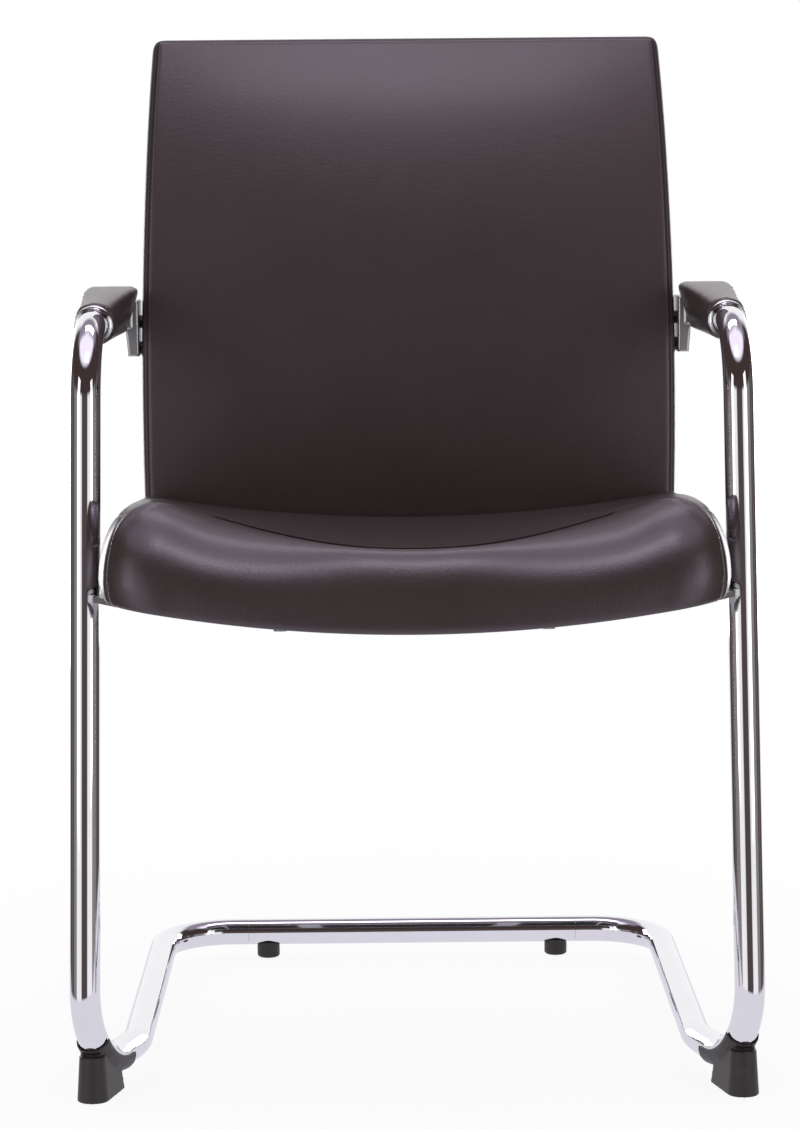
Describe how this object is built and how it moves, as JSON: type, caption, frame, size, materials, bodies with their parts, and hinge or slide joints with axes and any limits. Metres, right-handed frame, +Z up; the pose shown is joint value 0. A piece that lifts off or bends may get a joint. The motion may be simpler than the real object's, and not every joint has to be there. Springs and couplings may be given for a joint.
{
  "type": "sled base visitor chair",
  "caption": "Cantilever visitor chair: bent chrome tube sled base with padded arms, dished leather seat and leather backrest.",
  "frame": {"origin": "middle of the chair's footprint on the floor", "axes": "+X towards the right arm as seen from the front, +Y towards the back, +Z up"},
  "size_m": [0.5832, 0.6544, 0.8854],
  "materials": {
    "chrome": "polished chrome plate on steel tube",
    "steel": "grey coated steel bar",
    "cast_lug": "satin cast alloy",
    "fasteners": "dark zinc plated",
    "black_plastic": "moulded, fine satin grain",
    "pad_leather": "fine grained, satin, dark brown",
    "upholstery_leather": "smooth aniline look, soft sheen, dark brown",
    "plywood": "bare moulded plywood",
    "lining": "black non-woven underside cloth on board"
  },
  "bodies": {
    "root": {"arm_collar_left": "chrome", "arm_collar_right": "chrome", "arm_lug_left": "cast_lug", "arm_lug_right": "cast_lug", "arm_pad_core_left": "black_plastic", "arm_pad_core_right": "black_plastic", "arm_pad_cover_left": "pad_leather", "arm_pad_cover_right": "pad_leather", "back_bolt_lower_left": "fasteners", "back_bolt_lower_right": "fasteners", "back_bolt_upper_left": "fasteners", "back_bolt_upper_right": "fasteners", "back_cross_strap": "steel", "back_cushion": "upholstery_leather", "back_rear_panel": "upholstery_leather", "back_shell": "plywood", "boot_screw_left": "fasteners", "boot_screw_right": "fasteners", "front_boot_left": "black_plastic", "front_boot_right": "black_plastic", "glide_screw_left": "fasteners", "glide_screw_right": "fasteners", "joint_sleeve_left": "steel", "joint_sleeve_right": "steel", "lug_bolt_lower_left": "fasteners", "lug_bolt_lower_right": "fasteners", "lug_bolt_upper_left": "fasteners", "lug_bolt_upper_right": "fasteners", "lug_spacer_lower_left": "steel", "lug_spacer_lower_right": "steel", "lug_spacer_upper_left": "steel", "lug_spacer_upper_right": "steel", "rear_cross_tube": "chrome", "rear_glide_left": "black_plastic", "rear_glide_right": "black_plastic", "seat_back_bar_left": "steel", "seat_back_bar_right": "steel", "seat_bearer": "steel", "seat_bolt_front_left": "fasteners", "seat_bolt_front_right": "fasteners", "seat_bolt_rear_left": "fasteners", "seat_bolt_rear_right": "fasteners", "seat_cushion": "upholstery_leather", "seat_shell": "plywood", "seat_underside_cover": "lining", "side_tube_left": "chrome", "side_tube_right": "chrome"}
  },
  "joints": []
}
